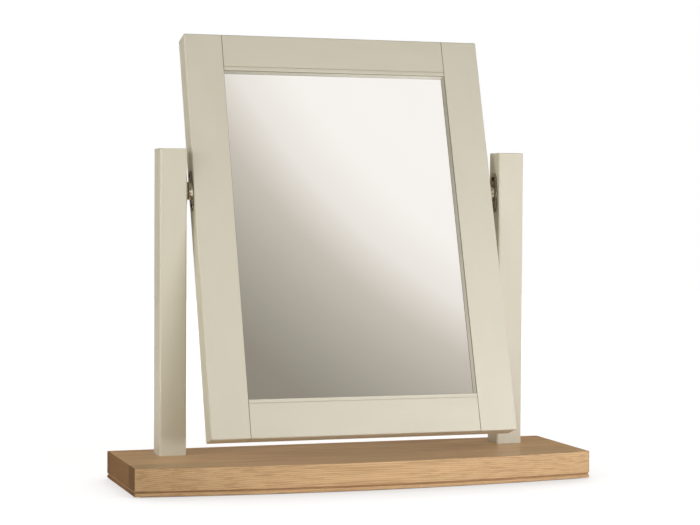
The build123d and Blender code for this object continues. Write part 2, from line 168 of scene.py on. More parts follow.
class Wiring:
    """Adds nodes to one node tree and joins their sockets."""

    def __init__(self, tree: bpy.types.NodeTree) -> None:
        """Take over a tree and empty it."""
        self.tree = tree
        tree.nodes.clear()

    def feed(self, node: bpy.types.Node, feeds: dict[str | int, Feed]) -> None:
        """Feed a node's inputs.

        Args:
            node: The node.
            feeds: What each input gets, by name, with _ for a space, or by number: a value, or an output to join.
        """
        for key, feed in feeds.items():
            socket = node.inputs[key.replace("_", " ") if isinstance(key, str) else key]
            if isinstance(feed, Socket):
                self.tree.links.new(feed, socket)
            else:
                socket.default_value = feed

    def node(self, kind: str, feeds: dict[str | int, Feed] | None = None, **settings: object) -> bpy.types.Node:
        """Add one node.

        Args:
            kind: The node's type, without its ShaderNode prefix.
            feeds: What each input gets, by name or number.
            **settings: The node's own properties.

        Returns:
            The new node.
        """
        made = self.tree.nodes.new(f"ShaderNode{kind}")
        for name, value in settings.items():
            setattr(made, name, value)
        self.feed(made, feeds or {})
        return made

    def maths(self, operation: str, *feeds: Feed, clamp: bool = False) -> Socket:
        """Add a Math node and give its output."""
        return self.node("Math", dict(enumerate(feeds)), operation=operation, use_clamp=clamp).outputs[0]

    def times(self, value: Feed, factor: Feed) -> Socket:
        """Multiply two values."""
        return self.maths("MULTIPLY", value, factor)

    def linear(self, value: Feed, slope: Feed, start: Feed) -> Socket:
        """Give a value times a slope, from a start."""
        return self.maths("MULTIPLY_ADD", value, slope, start)

    def vector(self, operation: str, *feeds: Feed, output: str = "Vector") -> Socket:
        """Add a Vector Math node and give its vector, or its Value."""
        return self.node("VectorMath", dict(enumerate(feeds)), operation=operation).outputs[output]

    def parts(self, position: Socket) -> bpy.types.NodeOutputs:
        """Split a position into its X, Y and Z."""
        return self.node("SeparateXYZ", {0: position}).outputs

    def place(self) -> Socket:
        """Give the place on the piece, in metres."""
        return self.node("TexCoord").outputs["Object"]

    def away(self, value: Feed, middle: float = 0.0) -> Socket:
        """Give how far a value is from a middle, on either side."""
        return self.maths("ABSOLUTE", self.maths("SUBTRACT", value, middle) if middle else value)

    def ramp(self, value: Feed, low: float, high: float, to_low: float = 0.0, to_high: float = 1.0) -> Socket:
        """Turn a span of values smoothly into another.

        Args:
            value: The value that varies.
            low: Where the span starts.
            high: Where it ends.
            to_low: What the start becomes.
            to_high: What the end becomes.

        Returns:
            The eased value.
        """
        feeds = {"Value": value, "From Min": low, "From Max": high, "To Min": to_low, "To Max": to_high}
        return self.node("MapRange", feeds, interpolation_type="SMOOTHSTEP").outputs["Result"]

    def curve(self, value: Feed, low: float, high: float, levels: tuple[float, ...]) -> Socket:
        """Turn a span of values into evenly spaced levels, joined by straight lines.

        Args:
            value: The value that varies.
            low: Where the span starts.
            high: Where it ends.
            levels: What the start, the end and the evenly spaced values between them become.

        Returns:
            The level.
        """
        along = self.node("MapRange", {"Value": value, "From Min": low, "From Max": high}).outputs["Result"]
        made = self.node("ValToRGB", {"Fac": along})
        stops = made.color_ramp.elements
        while len(stops) < len(levels):
            stops.new(1.0)
        for number, level in enumerate(levels):
            stops[number].position = number / (len(levels) - 1)
            stops[number].color = (level, level, level, 1.0)
        return made.outputs["Color"]

    def noise(self, position: Socket, pattern: Pattern) -> Socket:
        """Give a noise pattern's value at each place."""
        feeds = {"Vector": self.vector("MULTIPLY", position, pattern.waves), "Scale": 1.0, "Detail": pattern.detail}
        return self.node("TexNoise", feeds).outputs["Fac"]

    def mask(self, position: Socket, pattern: Pattern) -> Socket:
        """Give a noise pattern eased over its own span, from 0 to 1."""
        return self.ramp(self.noise(position, pattern), *pattern.span)

    def blend(self, share: Feed, base: Feed, other: Feed, mode: str = "MIX") -> Socket:
        """Mix two colours.

        Args:
            share: How much of the other colour shows, from 0 to 1.
            base: The first colour.
            other: The second colour.
            mode: Blender's name for how they combine.

        Returns:
            The mixed colour.
        """
        feeds = {0: share, 6: base, 7: other}
        return self.node("Mix", feeds, data_type="RGBA", blend_type=mode).outputs[2]

    def cover(self, colour: Feed, mask: Socket, coat: Coat) -> Socket:
        """Lay a coat over a colour, where a mask lets it show."""
        return self.blend(self.times(mask, coat.most), colour, srgb(coat.tone))


@dataclass(frozen=True)
class Effect:
    """A surface effect that several finishes share, built once as a shader node group."""

    name: str
    inputs: dict[str, float | Triple]
    outputs: tuple[str, ...]
    build: Callable[[Wiring, dict[str, Socket]], dict[str, Socket]]

    def tree(self) -> bpy.types.NodeTree:
        """Give the effect's node group, made on the first call.

        Returns:
            The node group.
        """
        known = bpy.data.node_groups.get(self.name)
        if known:
            return known
        group = bpy.data.node_groups.new(self.name, "ShaderNodeTree")
        for name, value in self.inputs.items():
            kind = "NodeSocketFloat" if isinstance(value, float) else "NodeSocketVector"
            group.interface.new_socket(name=name, in_out="INPUT", socket_type=kind).default_value = value
        for name in self.outputs:
            group.interface.new_socket(name=name, in_out="OUTPUT", socket_type="NodeSocketFloat")
        wiring = Wiring(group)
        entry = group.nodes.new("NodeGroupInput")
        results = self.build(wiring, {name: entry.outputs[name] for name in self.inputs})
        wiring.feed(group.nodes.new("NodeGroupOutput"), results)
        return group

    def place(self, wiring: Wiring, **feeds: Feed) -> dict[str, Socket]:
        """Put the effect into a material.

        Args:
            wiring: The material's wiring.
            **feeds: What the effect's inputs get in this material.

        Returns:
            The effect's outputs by name.
        """
        made = wiring.node("Group", feeds, node_tree=self.tree())
        return {name: made.outputs[name] for name in self.outputs}


def grow_wood(w: Wiring, at: dict[str, Socket]) -> dict[str, Socket]:
    """Wood as it grows: rings round a pith that runs along X, with pores and fibres along them.

    Args:
        w: The group's wiring.
        at: Position from the pith, in metres, and the spacing of the rings.

    Returns:
        Masks for the rings, pores, fibres and broad changes of tone, and the height of the surface.
    """
    position = at["Position"]
    shift = w.linear(w.noise(position, RING_WANDER), PITH_SHIFT, -PITH_SHIFT / 2)
    parts = w.parts(position)
    side = w.maths("ADD", parts["Y"], shift)
    rise = w.maths("SUBTRACT", parts["Z"], shift)
    radius = w.maths("SQRT", w.maths("ADD", w.times(side, side), w.times(rise, rise)))
    waver = w.times(w.noise(position, RING_WAVER), RING_WAVER_DEPTH)
    turn = w.maths("FRACT", w.maths("ADD", w.maths("DIVIDE", radius, at["Ring spacing"]), waver))
    rings = w.ramp(w.away(w.linear(turn, 2.0, -1.0)), *LATE_WOOD)
    pores = w.times(w.mask(position, PORES), w.linear(rings, 1 - EARLY_PORES, EARLY_PORES))
    fibres = w.noise(position, FIBRES)
    sunk = w.linear(pores, -1.0, w.times(fibres, FIBRE_RISE))
    height = w.linear(rings, -RING_FALL, sunk)
    return {"Rings": rings, "Pores": pores, "Fibres": fibres, "Tone": w.noise(position, GROWN_TONE), "Height": height}


def wear_edges(w: Wiring, at: dict[str, Socket]) -> dict[str, Socket]:
    """The worn strip along the edges of a box-shaped piece, broken up so that it isn't even.

    Args:
        w: The group's wiring.
        at: Position, the box's middle and half size in the same coordinates, and the strip's width.

    Returns:
        The mask, 1 at an edge and 0 away from it.
    """
    offset = w.vector("ABSOLUTE", w.vector("SUBTRACT", at["Position"], at["Middle"]))
    gaps = w.parts(w.vector("SUBTRACT", at["Half size"], offset))
    near = w.maths("MINIMUM", gaps["X"], gaps["Y"])
    far = w.maths("MAXIMUM", gaps["X"], gaps["Y"])
    second = w.maths("MAXIMUM", near, w.maths("MINIMUM", far, gaps["Z"]))
    close = w.maths("SUBTRACT", 1.0, w.maths("DIVIDE", second, at["Width"]), clamp=True)
    return {"Mask": w.times(close, w.mask(at["Position"], EDGE_CHIPS))}


def brush_paint(w: Wiring, at: dict[str, Socket]) -> dict[str, Socket]:
    """A film of satin paint, laid off along X, over the faint grain of the wood below it.

    Args:
        w: The group's wiring.
        at: Position with X along the piece, in metres.

    Returns:
        How the tone, the gloss and the height of the film vary.
    """
    tone, strokes, peel, grain = (w.noise(at["Position"], pattern)
                                  for pattern in (PAINT_TONE, STROKES, ORANGE_PEEL, PAINTED_GRAIN))
    film = w.linear(strokes, STROKE_RISE, w.times(peel, PEEL_RISE))
    return {"Tone": tone, "Gloss": strokes, "Height": w.linear(grain, GRAIN_RISE, film)}


def settle_dust(w: Wiring, at: dict[str, Socket]) -> dict[str, Socket]:
    """A trace of dust and handling on a surface.

    Args:
        w: The group's wiring.
        at: Position, in metres.

    Returns:
        The mask of the specks and smears.
    """
    specks = w.times(w.mask(at["Position"], SPECKS), SPECK_SHARE)
    smears = w.mask(at["Position"], SMEARS)
    return {"Mask": w.maths("MULTIPLY_ADD", smears, SMEAR_SHARE, specks, clamp=True)}


WOOD = Effect("wood_growth", {"Position": ORIGIN, "Ring spacing": 3 * MM},
              ("Rings", "Pores", "Fibres", "Tone", "Height"), grow_wood)
EDGES = Effect("edge_wear", {"Position": ORIGIN, "Middle": ORIGIN, "Half size": (1.0, 1.0, 1.0), "Width": 2 * MM},
               ("Mask",), wear_edges)
PAINT_FILM = Effect("paint_film", {"Position": ORIGIN}, ("Tone", "Gloss", "Height"), brush_paint)
DUST = Effect("dust", {"Position": ORIGIN}, ("Mask",), settle_dust)


@dataclass(frozen=True)
class Datum:
    """Where a piece's own upright coordinates lie, and which way its grain runs."""

    origin: Triple = ORIGIN
    tilt: float = 0.0
    way: Way = Way.ACROSS
    offset: Triple = ORIGIN

    def upright(self, w: Wiring) -> Socket:
        """Give the position in the piece's upright coordinates."""
        feeds = {"Vector": w.place(), "Location": self.origin, "Rotation": (-self.tilt, 0.0, 0.0)}
        return w.node("Mapping", feeds, vector_type="TEXTURE").outputs[0]

    def along_grain(self, w: Wiring, upright: Socket) -> Socket:
        """Turn an upright position so that X runs along the grain, and move it by the offset."""
        feeds = {"Vector": upright, "Location": self.offset, "Rotation": self.way.value}
        return w.node("Mapping", feeds, vector_type="TEXTURE").outputs[0]


class Surface(Wiring):
    """A material's wiring, with a Principled shader whose even values are set on its own sockets."""

    def __init__(self, name: str, **even: Feed) -> None:
        """Make the material.

        Args:
            name: Its name.
            **even: Values that are the same all over.
        """
        self.material = bpy.data.materials.new(name)
        self.material.use_nodes = True
        super().__init__(self.material.node_tree)
        self.shader = self.node("BsdfPrincipled", even)
        self.node("OutputMaterial", {"Surface": self.shader.outputs[0]})

    def dusty(self, position: Socket, varying: Socket, gain: float, least: float) -> Socket:
        """Give a roughness that follows a pattern and is duller under dust.

        Args:
            position: The position that the dust is laid on.
            varying: The pattern.
            gain: What the pattern adds at its highest.
            least: The roughness where the pattern is 0.

        Returns:
            The roughness.
        """
        clean = self.linear(varying, gain, least)
        return self.linear(DUST.place(self, Position=position)["Mask"], DUST_DULLNESS, clean)

    def finish(self, colour: Socket, roughness: Socket, height: Socket | None = None,
               depth: float = 0.0) -> bpy.types.Material:
        """Join what varies over the surface to the shader.

        Args:
            colour: The base colour.
            roughness: The roughness.
            height: The height of the relief, if there is any.
            depth: How deep the relief is, in metres.

        Returns:
            The finished material.
        """
        self.feed(self.shader, {"Base Color": colour, "Roughness": roughness})
        if height is not None:
            bump = self.node("Bump", {"Height": height, "Distance": depth})
            self.feed(self.shader, {"Normal": bump.outputs[0]})
        return self.material


@dataclass(frozen=True)
class Finish:
    """What every finish has: its material's name, and a way to build the material."""

    name: str

    def material(self) -> bpy.types.Material:
        """Build the material, which each kind of finish does in its own way."""
        raise NotImplementedError


@dataclass(frozen=True)
class OakBoard:
    """One board's own cut: where its pith lies, how its rings are spaced, and its tones as shares of plain oak, one of
    them painted shade towards its left end.
    """

    pith: Triple
    ring_spacing: float
    tint: Rgb
    left_shade: Rgb
    end_tone: Rgb


@dataclass(frozen=True)
class OakFinish(Finish):
    """Oak under clear satin lacquer, with rings on the faces, as arcs on the darker end grain, and painted shade
    towards the left end.
    """

    board: OakBoard
    half_length: float
    plain: Rgb = (210, 172, 126)
    pale: Rgb = (224, 185, 138)
    fibres: Coat = Coat((181, 141, 98), 0.75)
    fibre_span: Span = (0.42, 0.72)
    rings: Coat = Coat((175, 134, 90), 0.45)
    pores: Coat = Coat((130, 95, 62), 0.38)
    end_reach: Span = (1.6 * MM, 0.3 * MM)
    left_shade_reach: float = 0.45
    groove_tone: Rgb = (190, 166, 138)
    groove_middle: float = 7.6 * MM
    groove_reach: Span = (0.8 * MM, 1.5 * MM)
    groove_shade: float = 0.75
    coat_weight: float = 0.3
    end_roughness: float = 0.3
    relief: float = 0.12 * MM

    def material(self) -> bpy.types.Material:
        """Build the material.

        Returns:
            The material.
        """
        w = Surface(self.name, Coat_Roughness=0.3, Specular_IOR_Level=0.5)
        datum = Datum(offset=self.board.pith)
        upright = datum.upright(w)
        grown = WOOD.place(w, Position=datum.along_grain(w, upright), Ring_spacing=self.board.ring_spacing)
        colour = w.blend(w.ramp(grown["Tone"], *MOST_NOISE), srgb(self.plain), srgb(self.pale))
        colour = w.cover(colour, w.ramp(grown["Fibres"], *self.fibre_span), self.fibres)
        colour = w.cover(colour, grown["Rings"], self.rings)
        colour = w.cover(colour, grown["Pores"], self.pores)
        parts = w.parts(upright)
        end = w.ramp(w.away(parts["X"]), *(self.half_length - reach for reach in self.end_reach))
        # painted shade: each board darkens towards its left end, as if less light reached it there
        left = w.ramp(parts["X"], -self.half_length, -self.left_shade_reach * self.half_length, 1.0, 0.0)
        shade = w.ramp(w.away(parts["Z"], self.groove_middle), *self.groove_reach, self.groove_shade, 0.0)
        tones = ((1.0, self.board.tint), (left, self.board.left_shade), (end, self.board.end_tone),
                 (shade, self.groove_tone))
        for share, tone in tones:
            colour = w.blend(share, colour, srgb(tone), "MULTIPLY")
        roughness = w.dusty(upright, grown["Fibres"], gain=0.15, least=0.38)
        roughness = w.linear(end, self.end_roughness, roughness)
        w.feed(w.shader, {"Coat Weight": w.linear(end, -self.coat_weight, self.coat_weight)})
        return w.finish(colour, roughness, grown["Height"], self.relief)


@dataclass(frozen=True)
class PaintFinish(Finish):
    """Satin stone-grey paint on wood, thinner and paler on the edges and dark in the open joints; on the frame, darker
    along the scratched line, with painted shade at the front of the opening's sides and painted light on them towards
    the glass.
    """

    datum: Datum
    middle: Triple
    half_size: Triple
    joint_x: float = 0.0
    joint_z: Span = (0.0, 0.0)
    reveal_light_run: Span = (0.0, 0.0)
    colour: Rgb = (213, 207, 187)
    deeper: Rgb = (210, 204, 183)
    tone_span: Span = (0.25, 0.75)
    worn: Coat = Coat((227, 221, 200), 0.5)
    worn_width: float = 1.8 * MM
    # painted light: the opening's sides are paler towards the glass
    reveal_light: Coat = Coat((250, 244, 225))
    # dirt in the joints, and painted shade on the frame
    dirt_and_shade: Coat = Coat((96, 88, 70))
    joint_dirt: float = 0.85
    joint_reach: Span = (0.05 * MM, 0.7 * MM)
    line_darkening: float = 0.15
    line_middle: float = 5.5 * MM
    line_reach: Span = (0.3 * MM, 0.9 * MM)
    # painted shade at the front of the opening's sides
    rim_shade: float = 0.8
    rim_y: Span = (-13.4 * MM, -12.0 * MM)
    side_reach: Span = (0.2 * MM, 0.6 * MM)
    end_reach: Span = (0.2 * MM, 1.2 * MM)
    end_relief: float = 0.2
    film_relief: float = 0.05 * MM

    def material(self) -> bpy.types.Material:
        """Build the material.

        Returns:
            The material.
        """
        w = Surface(self.name, Specular_IOR_Level=0.45)
        upright = self.datum.upright(w)
        film = PAINT_FILM.place(w, Position=self.datum.along_grain(w, upright))
        colour = w.blend(w.ramp(film["Tone"], *self.tone_span), srgb(self.deeper), srgb(self.colour))
        worn = EDGES.place(w, Position=upright, Middle=self.middle, Half_size=self.half_size, Width=self.worn_width)
        colour = w.cover(colour, worn["Mask"], self.worn)
        if self.joint_x:
            dirt_and_shade, reveal_light = self.marks(w, upright)
            colour = w.cover(w.cover(colour, reveal_light, self.reveal_light), dirt_and_shade, self.dirt_and_shade)
        roughness = w.dusty(upright, film["Gloss"], gain=0.12, least=0.30)
        return w.finish(colour, roughness, self.relief(w, upright, film["Height"]), self.film_relief)

    def relief(self, w: Wiring, upright: Socket, height: Socket) -> Socket:
        """Lay the film smoother on a piece's two ends, where the brush doesn't run along the grain.

        Args:
            w: The material's wiring.
            upright: The position in upright coordinates.
            height: The height of the film on the long faces.

        Returns:
            The height of the film all over.
        """
        axis = 2 if self.datum.way is Way.UP else 0
        parts = w.parts(w.vector("SUBTRACT", upright, self.middle))
        from_end = w.maths("SUBTRACT", self.half_size[axis], w.away(parts[axis]))
        return w.times(height, w.ramp(from_end, *self.end_reach, self.end_relief, 1.0))

    def marks(self, w: Wiring, upright: Socket) -> tuple[Socket, Socket]:
        """Find where the joints are dirty, where the scratched line is darker, and where shade and light are painted
        on the opening's sides.

        Args:
            w: The material's wiring.
            upright: The position in upright coordinates.

        Returns:
            The mask of the dirt in the joints, the darkening along the scratched line and the painted shade at the
            front of the opening's sides, and the mask of the painted light on those sides towards the glass.
        """
        parts = w.parts(upright)
        low, high = self.joint_z
        above = w.maths("SUBTRACT", w.away(parts["Z"], (low + high) / 2), (high - low) / 2)
        beside = w.maths("SUBTRACT", w.away(parts["X"]), self.joint_x)
        joint = w.ramp(w.away(beside), *self.joint_reach, self.joint_dirt, 0.0)
        joint = w.times(w.maths("GREATER_THAN", above, 0.0), joint)
        # the scratched line is painted darker
        line = w.ramp(w.away(above, self.line_middle), *self.line_reach, self.line_darkening, 0.0)
        line = w.times(w.maths("LESS_THAN", beside, 0.0), line)
        line = w.times(w.maths("LESS_THAN", parts["Y"], 0.0), line)
        side = w.ramp(w.away(w.maths("MAXIMUM", above, beside)), *self.side_reach, 1.0, 0.0)
        # painted shade: the front of the opening's sides is darkened
        rim = w.times(side, w.ramp(parts["Y"], *self.rim_y, self.rim_shade, 0.0))
        # painted light: the opening's sides are paler towards the glass, more towards one end
        if self.datum.way is Way.UP:
            run = w.ramp(parts["Z"], low, high, *self.reveal_light_run)
        else:
            run = w.ramp(parts["X"], -self.joint_x, self.joint_x, *self.reveal_light_run)
        reveal_light = w.times(w.times(side, run), w.ramp(parts["Y"], *self.rim_y))
        return w.maths("MAXIMUM", joint, w.maths("MAXIMUM", line, rim)), reveal_light


@dataclass(frozen=True)
class MirrorFinish(Finish):
    """Silvered glass, clean but for a trace of smears."""

    silver: Rgb = (250, 251, 250)
    smeared: Coat = Coat((228, 228, 222), 0.05)
    polish: float = 0.012
    smear_dullness: float = 0.03

    def material(self) -> bpy.types.Material:
        """Build the material.

        Returns:
            The material.
        """
        w = Surface(self.name, Metallic=1.0)
        smears = DUST.place(w, Position=w.place())["Mask"]
        colour = w.cover(srgb(self.silver), smears, self.smeared)
        return w.finish(colour, w.linear(smears, self.smear_dullness, self.polish))


@dataclass(frozen=True)
class MetalFinish(Finish):
    """A metal, plain or darkened, rubbed paler and smoother in patches, with painted shade where it meets the wood."""

    metal: Metal
    seat: float = 0.0
    seat_shade: Coat = Coat((44, 37, 27))
    seat_shade_depth: float = 0.9
    seat_reach: Span = (0.4 * MM, 1.5 * MM)
    tarnished: float = 0.65
    rub_shine: float = 0.12
    scratch_dullness: float = 0.15
    scratch_depth: float = 0.02 * MM

    def material(self) -> bpy.types.Material:
        """Build the material.

        Returns:
            The material.
        """
        w = Surface(self.name)
        dark, rubbed, least = self.metal.value
        position = w.place()
        patina = w.mask(position, PATINA)
        scratches = w.noise(position, SCRATCHES)
        colour = w.blend(patina, srgb(dark), srgb(rubbed))
        if self.seat:
            # painted shade on the plate where it meets the wood
            off = w.away(w.away(w.parts(position)["X"]), self.seat)
            colour = w.cover(colour, w.ramp(off, *self.seat_reach, self.seat_shade_depth, 0.0), self.seat_shade)
        roughness = w.linear(patina, -self.rub_shine, w.linear(scratches, self.scratch_dullness, least))
        w.feed(w.shader, {"Metallic": w.linear(patina, 1 - self.tarnished, self.tarnished)})
        return w.finish(colour, roughness, scratches, self.scratch_depth)


@dataclass(frozen=True)
class SoftwoodFinish(Finish):
    """Bare planed softwood."""

    datum: Datum
    plain: Rgb = (222, 194, 150)
    pale: Rgb = (232, 208, 168)
    rings: Coat = Coat((196, 150, 98), 0.6)
    ring_spacing: float = 2.2 * MM
    rough: Span = (0.6, 0.75)
    relief: float = 0.1 * MM

    def material(self) -> bpy.types.Material:
        """Build the material.

        Returns:
            The material.
        """
        w = Surface(self.name)
        upright = self.datum.upright(w)
        grown = WOOD.place(w, Position=self.datum.along_grain(w, upright), Ring_spacing=self.ring_spacing)
        colour = w.blend(grown["Tone"], srgb(self.plain), srgb(self.pale))
        colour = w.cover(colour, grown["Rings"], self.rings)
        return w.finish(colour, w.ramp(grown["Fibres"], *MOST_NOISE, *self.rough), grown["Height"], self.relief)


@dataclass(frozen=True)
class BoardFinish(Finish):
    """Thin fibreboard, rolled with a coat of the frame's paint: flatter, with a fine stipple."""

    datum: Datum
    plain: Rgb = (197, 189, 171)
    pale: Rgb = (203, 196, 178)
    thin: Coat = Coat((172, 160, 138), 0.25)
    thin_span: Span = (0.55, 0.8)
    rough: Span = (0.55, 0.68)
    relief: float = 0.15 * MM

    def material(self) -> bpy.types.Material:
        """Build the material.

        Returns:
            The material.
        """
        w = Surface(self.name, Specular_IOR_Level=0.3)
        upright = self.datum.upright(w)
        stipple = w.noise(upright, STIPPLE)
        colour = w.blend(w.mask(upright, BOARD_TONE), srgb(self.plain), srgb(self.pale))
        colour = w.cover(colour, w.ramp(stipple, *self.thin_span), self.thin)
        return w.finish(colour, w.ramp(stipple, *MOST_NOISE, *self.rough), stipple, self.relief)


@dataclass(frozen=True)
class FeltFinish(Finish):
    """Pressed felt, or the denser fibre of a washer."""

    stuff: Pressed
    light_span: Span = (0.35, 0.75)
    rough: Span = (0.85, 0.98)
    relief: float = 0.3 * MM

    def material(self) -> bpy.types.Material:
        """Build the material.

        Returns:
            The material.
        """
        w = Surface(self.name, Specular_IOR_Level=0.15, Sheen_Weight=0.35, Sheen_Roughness=0.6)
        threads, dark, light = self.stuff.value
        position = w.place()
        fibres = w.noise(position, Pattern.even(threads, 6.0))
        tufts = w.noise(position, TUFTS)
        colour = w.blend(w.ramp(fibres, *self.light_span), srgb(dark), srgb(light))
        roughness = w.ramp(tufts, *MOST_NOISE, *self.rough)
        return w.finish(colour, roughness, w.maths("ADD", fibres, tufts), self.relief)


def dress(node: str, finish: Finish) -> None:
    """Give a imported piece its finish.

    Args:
        node: The piece's name.
        finish: The finish for all of it.
    """
    piece = frame["nodes"][node]
    piece.data.materials.clear()
    piece.data.materials.append(finish.material())
    log.info("%s: %s", node, finish.name)


def box_of(node: str) -> tuple[Vector, Vector]:
    """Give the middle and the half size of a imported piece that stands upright."""
    low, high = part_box(node)
    return (low + high) / 2, (high - low) / 2


@dataclass
class FeltSheet:
    """The felt under the base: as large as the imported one, and bowed like the base less the margin round it."""

    base_bow: float = 25 * MM
    edge_r: float = 0.5 * MM
    sharp: float = math.radians(40)
    smooth_below: float = math.radians(35)
    arc_steps: int = 72
    rows: int = 16
    low: Vector = field(init=False)
    high: Vector = field(init=False)
    radius: float = field(init=False)
    sweep: float = field(init=False)

    def __post_init__(self) -> None:
        """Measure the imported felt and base."""
        self.low, self.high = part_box("base_felt")
        half_length = box_of("base_core")[1].x
        inset = half_length - self.high.x
        self.radius = (half_length**2 + self.base_bow**2) / (2 * self.base_bow) - inset
        self.sweep = 2 * math.asin(self.high.x / self.radius)

    def area(self) -> float:
        """Work out the area of the sheet's outline.

        Returns:
            The area in square metres.
        """
        corner = self.low.y + self.radius - math.sqrt(self.radius**2 - self.high.x**2)
        bowed = self.radius**2 / 2 * (self.sweep - math.sin(self.sweep))
        return 2 * self.high.x * (self.high.y - corner) + bowed

    def outline(self) -> bpy.types.Object:
        """Draw the flat sheet: its bowed edge is spun from a point, drawn back to the straight edge and cut in rows.

        Returns:
            The sheet.
        """
        centre = Vector((0.0, self.low.y + self.radius, self.low.z))
        corner_y = centre.y - self.radius * math.cos(self.sweep / 2)
        bpy.ops.object.select_all(action="DESELECT")
        bpy.ops.mesh.primitive_plane_add(size=MM, location=(0.0, corner_y, self.low.z))
        sheet = bpy.context.active_object
        sheet.name = sheet.data.name = "felt_sheet"
        bpy.ops.object.transform_apply(location=True, rotation=True, scale=True)
        bpy.ops.object.mode_set(mode="EDIT")
        bpy.ops.mesh.select_all(action="SELECT")
        bpy.ops.mesh.merge(type="CENTER")
        bpy.ops.transform.translate(value=(-self.high.x, 0.0, 0.0))
        bpy.ops.mesh.spin(steps=self.arc_steps, angle=-self.sweep, center=centre, axis=(0.0, 0.0, 1.0))
        bpy.ops.mesh.select_all(action="SELECT")
        bpy.ops.mesh.remove_doubles(threshold=0.01 * MM)
        bpy.ops.mesh.extrude_region_move()
        bpy.ops.transform.resize(value=(1.0, 0.0, 1.0), center_override=(0.0, self.high.y, 0.0))
        for row in range(1, self.rows):
            bpy.ops.mesh.select_all(action="SELECT")
            cut = self.low.y + (self.high.y - self.low.y) * row / self.rows
            bpy.ops.mesh.bisect(plane_co=(0.0, cut, 0.0), plane_no=(0.0, 1.0, 0.0))
        bpy.ops.mesh.select_all(action="SELECT")
        bpy.ops.mesh.normals_make_consistent(inside=False)
        bpy.ops.object.mode_set(mode="OBJECT")
        return sheet

    def thicken(self, sheet: bpy.types.Object) -> None:
        """Give the sheet its thickness, upwards from its lower face, and round its sharp edges.

        Args:
            sheet: The flat sheet, which is the active piece.
        """
        solid = sheet.modifiers.new("thickness", "SOLIDIFY")
        solid.thickness = self.high.z - self.low.z
        solid.offset = 0.0
        bevel = sheet.modifiers.new("edges", "BEVEL")
        bevel.width = self.edge_r
        bevel.segments = 3
        bevel.limit_method = "ANGLE"
        bevel.angle_limit = self.sharp
        for modifier in list(sheet.modifiers):
            bpy.ops.object.modifier_apply(modifier=modifier.name)
        lowest = min(vertex.co.z for vertex in sheet.data.vertices)
        sheet.data.transform(Matrix.Translation((0.0, 0.0, self.low.z - lowest)))

    def settle(self) -> None:
        """Merge the sheet's doubles, turn its faces outwards and shade it smooth."""
        bpy.ops.object.mode_set(mode="EDIT")
        bpy.ops.mesh.select_all(action="SELECT")
        bpy.ops.mesh.remove_doubles(threshold=0.005 * MM)
        bpy.ops.mesh.normals_make_consistent(inside=False)
        bpy.ops.object.mode_set(mode="OBJECT")
        bpy.ops.object.shade_smooth_by_angle(angle=self.smooth_below)

    def build(self) -> bpy.types.Object:
        """Model the sheet and give it its finish.

        Returns:
            The sheet.
        """
        sheet = self.outline()
        self.thicken(sheet)
        self.settle()
        sheet.data.materials.append(FeltFinish("felt", Pressed.BLACK_FELT).material())
        return sheet


@dataclass
class BaseBoard:
    """The oak board that carries everything, in three boards glued up, and the felt sheet under it."""

    boards: dict[str, OakBoard] = field(default_factory=lambda: {
        "base_front_lipping": OakBoard(
            (0.13, -0.13, -0.11), 2.6 * MM, tint=(242, 242, 237), left_shade=(232, 232, 229), end_tone=(160, 138, 103)),
        "base_core": OakBoard(
            (-0.35, 0.09, -0.30), 3.4 * MM, tint=(254, 251, 243), left_shade=(242, 240, 237), end_tone=(174, 157, 130)),
        "base_back_lipping": OakBoard(
            (0.41, 0.02, 0.24), 2.9 * MM, tint=(243, 228, 209), left_shade=(247, 246, 244), end_tone=(166, 151, 127)),
    })

    def dress_boards(self) -> None:
        """Give each of the three boards its own cut of oak."""
        half_length = box_of("base_core")[1].x
        for node, board in self.boards.items():
            dress(node, OakFinish(f"oak_{node}", board, half_length))

    def lay_felt(self) -> None:
        """Lay the felt sheet under the boards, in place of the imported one."""
        sheet = FeltSheet()
        felt, area = sheet.build(), sheet.area()
        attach(felt, "stand")
        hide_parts("base_felt")
        log.info("felt_sheet: %.4f square metres", area)

    def build(self) -> None:
        """Make and dress the base."""
        self.dress_boards()
        self.lay_felt()


@dataclass
class Posts:
    """The two painted posts, with the dowels and screws that hold them to the base."""

    cut: Triple = (0.17, 0.05, 0.3)

    def build(self) -> None:
        """Dress the posts and their fixings."""
        for side in Side:
            name = side.name.lower()
            middle, half_size = box_of(f"post_{name}")
            datum = Datum(way=Way.UP, offset=(self.cut[0] * side.value, *self.cut[1:]))
            dress(f"post_{name}", PaintFinish(f"paint_post_{name}", datum, tuple(middle), tuple(half_size)))
            dress(f"post_dowels_{name}", SoftwoodFinish(f"beech_dowels_{name}", datum))
            dress(f"post_screw_{name}", MetalFinish(f"zinc_screw_{name}", Metal.ZINC))


